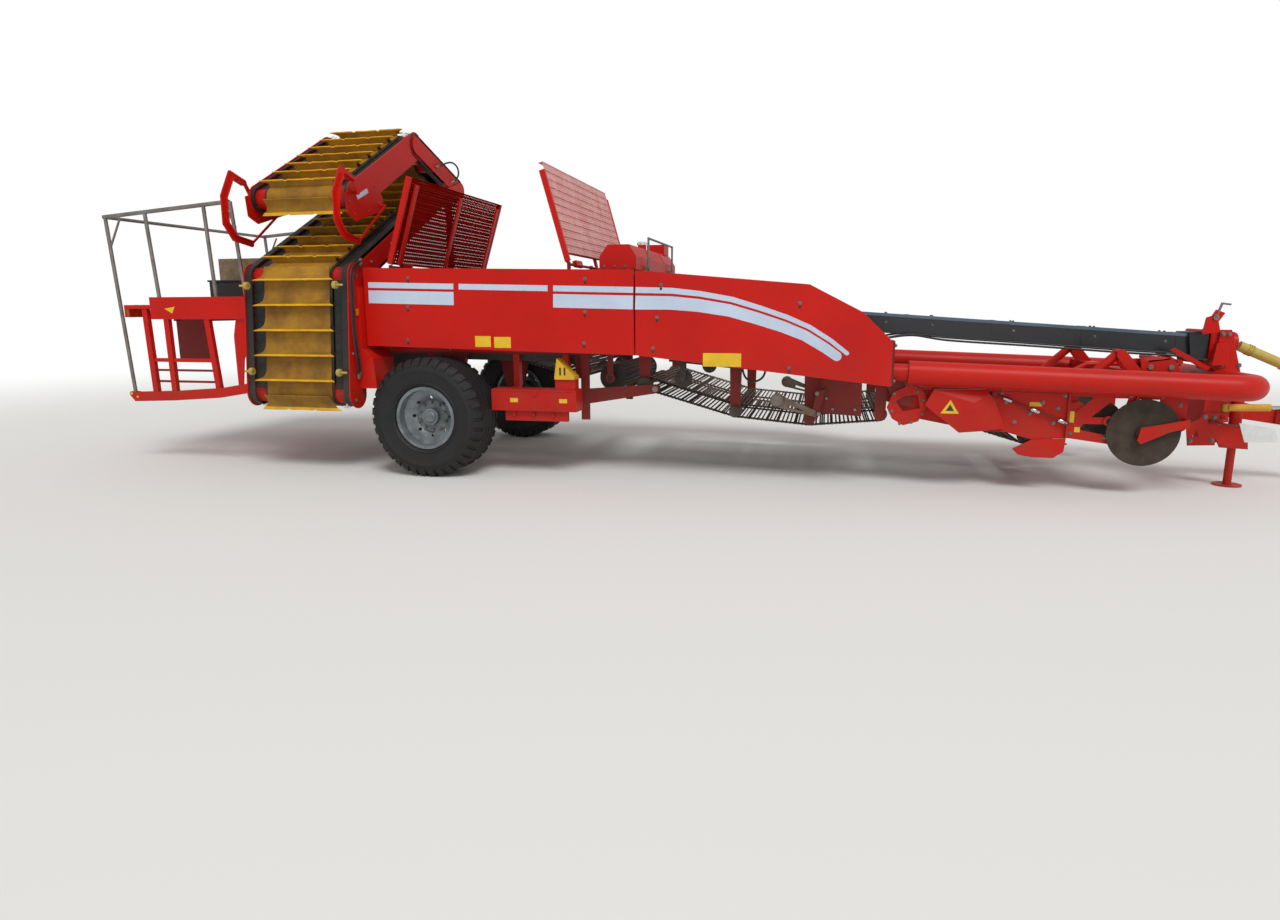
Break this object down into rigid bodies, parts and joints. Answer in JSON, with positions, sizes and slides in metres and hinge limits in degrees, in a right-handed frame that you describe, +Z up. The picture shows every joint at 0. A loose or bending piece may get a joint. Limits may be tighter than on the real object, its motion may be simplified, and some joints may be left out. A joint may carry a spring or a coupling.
{
  "type": "trailed potato harvester",
  "caption": "Trailed two-row potato harvester with folded side elevator, sieve webs, red side covers and a rear platform, parked on its jack.",
  "frame": {"origin": "on the ground under the middle of the machine's overall box", "axes": "+X forward along the machine, +Y to its left side, +Z up"},
  "size_m": [12.1941, 3.125, 3.6133],
  "materials": {
    "red_paint": "gloss enamel, dusty",
    "dark_red_paint": "gloss enamel in shade",
    "black_paint": "satin black",
    "paddle_yellow": "worn yellow",
    "tyre": "matt rubber",
    "rim_silver": "silver enamel",
    "web_rubber": "matt, dusty",
    "bare_steel": "worn steel",
    "galvanised": "weathered zinc",
    "rod_chrome": "polished rod",
    "guard_yellow": "faded yellow plastic",
    "guard_black": "satin black plastic",
    "chock_yellow": "yellow enamel",
    "lamp_lens": "clear lens"
  },
  "bodies": {
    "chassis": {"main_frame": "red_paint", "side_walls": "red_paint", "wall_ties": "dark_red_paint", "axle_beam": "dark_red_paint", "upper_frame": "dark_red_paint", "oil_tank": "red_paint", "front_frame": "red_paint", "pivot_bracket": "red_paint", "gearbox_tower": "red_paint", "driveline_guard": "guard_black", "sieve_web": "web_rubber", "rear_web": "web_rubber", "sieve_rollers": "bare_steel", "cross_conveyor": "web_rubber", "tool_box": "red_paint", "wheel_chock": "chock_yellow", "elevator_lower_frame": "red_paint", "elevator_lower_belt": "paddle_yellow", "platform_frame": "red_paint", "railing": "galvanised", "lamps": "lamp_lens"},
    "wheel_right": {"tyre_right": "tyre", "rim_right": "rim_silver"},
    "wheel_left": {"tyre_left": "tyre", "rim_left": "rim_silver"},
    "cover_right_rear_body": {"cover_right_rear": "red_paint"},
    "cover_right_front_body": {"cover_right_front": "red_paint"},
    "cover_left_rear_body": {"cover_left_rear": "red_paint"},
    "cover_left_front_body": {"cover_left_front": "red_paint"},
    "catwalk_rear_body": {"catwalk_rear": "dark_red_paint"},
    "catwalk_front_body": {"catwalk_front": "red_paint"},
    "elevator_mid": {"elevator_mid_frame": "red_paint", "elevator_mid_belt": "paddle_yellow"},
    "elevator_tip": {"elevator_tip_frame": "red_paint", "elevator_tip_belt": "paddle_yellow", "elevator_guard_arms": "red_paint"},
    "drum": {"haulm_drum": "web_rubber"},
    "intake": {"intake_frame": "red_paint", "intake_web": "web_rubber", "intake_shares": "bare_steel"},
    "rollers": {"diablo_rollers": "black_paint"},
    "coulter_right": {"disc_right": "bare_steel"},
    "coulter_left": {"disc_left": "bare_steel"},
    "lift_barrel": {"lift_barrels": "red_paint"},
    "lift_rod": {"lift_rods": "rod_chrome"},
    "drawbar_body": {"drawbar": "red_paint", "drive_shaft": "guard_yellow"},
    "steer_barrel": {"steering_barrel": "paddle_yellow"},
    "steer_rod": {"steering_rod": "rod_chrome"},
    "jack": {"jack_leg": "red_paint"}
  },
  "joints": [
    {"name": "wheel_right_spin", "type": "hinge", "parent": "chassis", "child": "wheel_right", "pos_m": [-2.3855, -1.25, 0.585], "axis": [0, 1, 0], "continuous": true},
    {"name": "wheel_left_spin", "type": "hinge", "parent": "chassis", "child": "wheel_left", "pos_m": [-2.3855, 1.25, 0.585], "axis": [0, 1, 0], "continuous": true},
    {"name": "cover_right_rear_hinge", "type": "hinge", "parent": "chassis", "child": "cover_right_rear_body", "pos_m": [-1.7355, -1.222, 1.96], "axis": [-1, 0, 0], "range_deg": [0, 70]},
    {"name": "cover_left_rear_hinge", "type": "hinge", "parent": "chassis", "child": "cover_left_rear_body", "pos_m": [-1.7355, 1.222, 1.96], "axis": [1, 0, 0], "range_deg": [0, 70]},
    {"name": "cover_right_front_hinge", "type": "hinge", "parent": "chassis", "child": "cover_right_front_body", "pos_m": [-0.3355, -1.222, 1.952], "axis": [-0.996, 0, 0.0888], "range_deg": [0, 70]},
    {"name": "cover_left_front_hinge", "type": "hinge", "parent": "chassis", "child": "cover_left_front_body", "pos_m": [-0.3355, 1.222, 1.952], "axis": [0.996, 0, -0.0888], "range_deg": [0, 70]},
    {"name": "catwalk_rear_fold", "type": "hinge", "parent": "chassis", "child": "catwalk_rear_body", "pos_m": [-2.8655, 0, 2.04], "axis": [0, 1, 0], "range_deg": [0, 72]},
    {"name": "catwalk_front_fold", "type": "hinge", "parent": "chassis", "child": "catwalk_front_body", "pos_m": [-1.0055, 0, 2.04], "axis": [0, -1, 0], "range_deg": [0, 74]},
    {"name": "elevator_fold", "type": "hinge", "parent": "chassis", "child": "elevator_mid", "pos_m": [-3.7205, 1.18, 3.08], "axis": [-1, 0, 0], "range_deg": [0, 140]},
    {"name": "elevator_knee", "type": "hinge", "parent": "elevator_mid", "child": "elevator_tip", "pos_m": [-3.7205, 0.13, 3.42], "axis": [-1, 0, 0], "range_deg": [0, 95]},
    {"name": "drum_spin", "type": "hinge", "parent": "chassis", "child": "drum", "pos_m": [-0.6755, 0, 0.95], "axis": [0, 1, 0], "continuous": true},
    {"name": "intake_lift", "type": "hinge", "parent": "chassis", "child": "intake", "pos_m": [2.1145, 0, 0.79], "axis": [0, 1, 0], "range_deg": [0, 6]},
    {"name": "rollers_spin", "type": "hinge", "parent": "intake", "child": "rollers", "pos_m": [3.8145, 0, 0.65], "axis": [0, 1, 0], "continuous": true},
    {"name": "coulter_right_spin", "type": "hinge", "parent": "intake", "child": "coulter_right", "pos_m": [4.0845, -0.91, 0.56], "axis": [0, 1, 0], "continuous": true},
    {"name": "coulter_left_spin", "type": "hinge", "parent": "intake", "child": "coulter_left", "pos_m": [4.0845, 0.91, 0.56], "axis": [0, 1, 0], "continuous": true},
    {"name": "lift_barrel_pivot", "type": "hinge", "parent": "chassis", "child": "lift_barrel", "pos_m": [3.8945, 0, 1.23], "axis": [0, -1, 0], "range_deg": [0, 11]},
    {"name": "lift_rod_slide", "type": "slide", "parent": "lift_barrel", "child": "lift_rod", "axis": [-0.7173, 0, -0.6968], "range_m": [0, 0.1167]},
    {"name": "drawbar_steer", "type": "hinge", "parent": "chassis", "child": "drawbar_body", "pos_m": [5.0145, 0, 0.69], "axis": [0, 0, 1], "range_deg": [-20, 20]},
    {"name": "steering_barrel_pivot", "type": "hinge", "parent": "chassis", "child": "steer_barrel", "pos_m": [4.8765, -0.44, 0.74], "axis": [0, 0, 1], "range_deg": [-13.66, 13.66]},
    {"name": "steering_rod_slide", "type": "slide", "parent": "steer_barrel", "child": "steer_rod", "axis": [0.9768, 0.2143, 0], "range_m": [-0.1428, 0.1428]},
    {"name": "jack_slide", "type": "slide", "parent": "chassis", "child": "jack", "axis": [0, 0, 1], "range_m": [0, 0.25]}
  ],
  "couplings": [
    {"joint": "lift_barrel_pivot", "follows": "intake_lift", "ratio": 1.7495},
    {"joint": "lift_rod_slide", "follows": "intake_lift", "m_per_rad": 1.0763},
    {"joint": "steering_barrel_pivot", "follows": "drawbar_steer", "ratio": 0.658},
    {"joint": "steering_rod_slide", "follows": "drawbar_steer", "m_per_rad": 0.39759}
  ]
}
